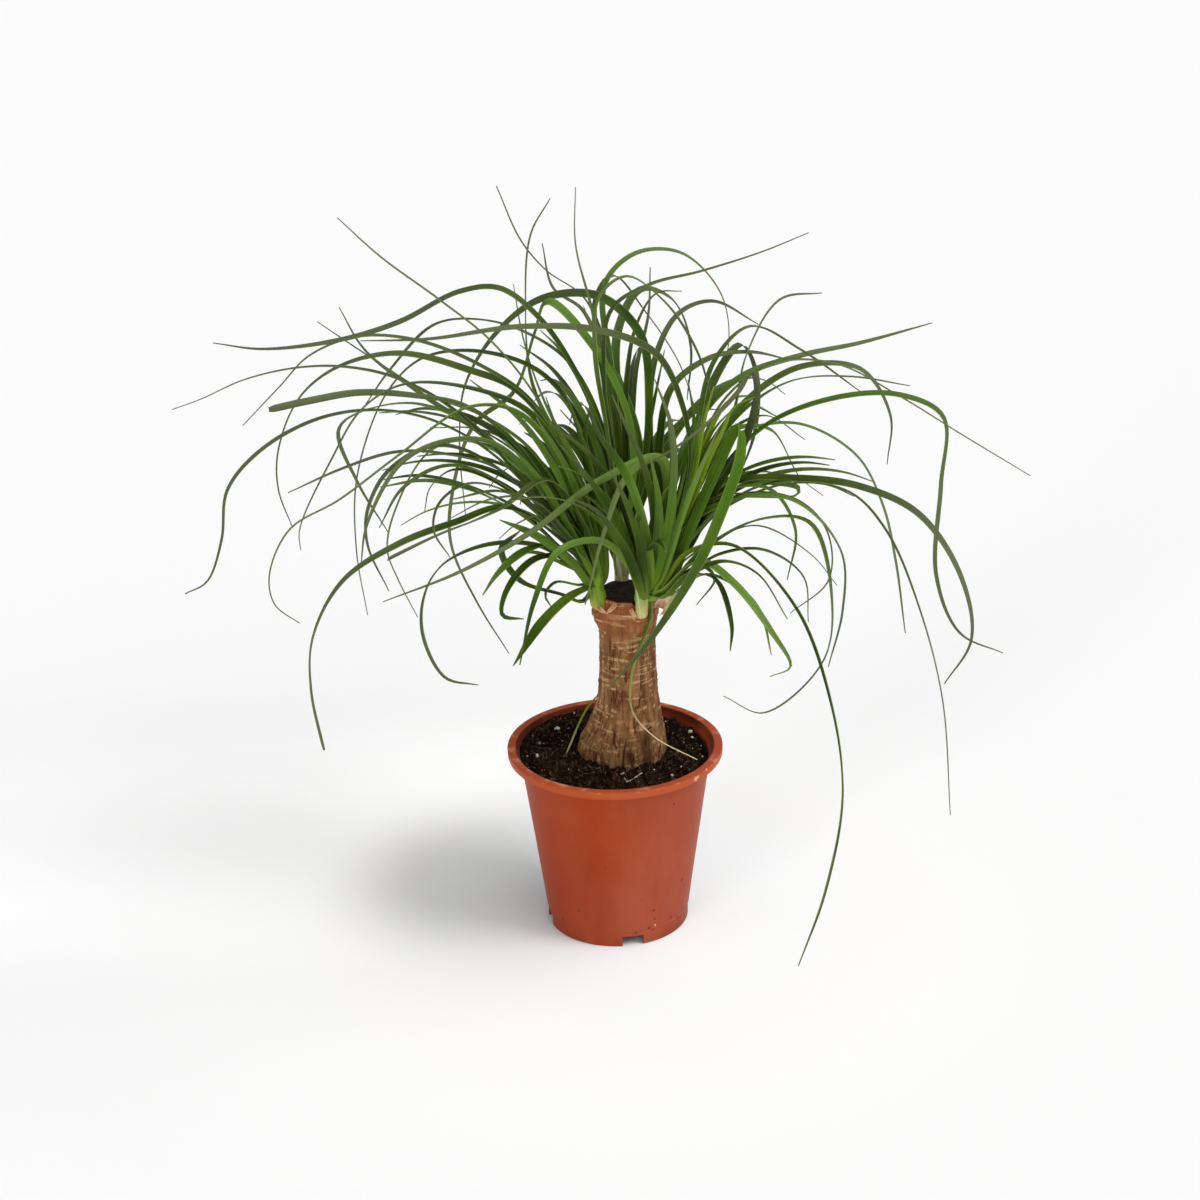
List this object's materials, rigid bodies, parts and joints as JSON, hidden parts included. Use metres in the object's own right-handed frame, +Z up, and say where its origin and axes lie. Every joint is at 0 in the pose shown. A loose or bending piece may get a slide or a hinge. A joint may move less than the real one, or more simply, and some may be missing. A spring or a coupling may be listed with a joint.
{
  "type": "potted ponytail palm",
  "caption": "Small ponytail palm in a terracotta-coloured plastic nursery pot: a cork-barked trunk with heads of long arching strap leaves round its sealed cut top.",
  "frame": {"origin": "centre of the pot's foot, on the surface that the pot stands on", "axes": "+Z up; +X to the picture's right, the way the leaves spread widest; +Y away from the picture's viewer"},
  "size_m": [0.4607, 0.3509, 0.4068],
  "materials": {
    "pot_plastic": "satin moulded polypropylene, lightly scuffed",
    "potting_soil": "matt, damp, with pale perlite",
    "bark": "matt cork bark with fissures",
    "wound_seal": "dried sealing wax",
    "leaf": "satin, finely veined"
  },
  "bodies": {
    "root": {"pot": "pot_plastic", "soil": "potting_soil", "trunk": "bark", "cut_seal": "wound_seal", "head_left": "leaf", "head_front": "leaf", "head_right": "leaf", "head_back": "leaf"}
  },
  "joints": []
}
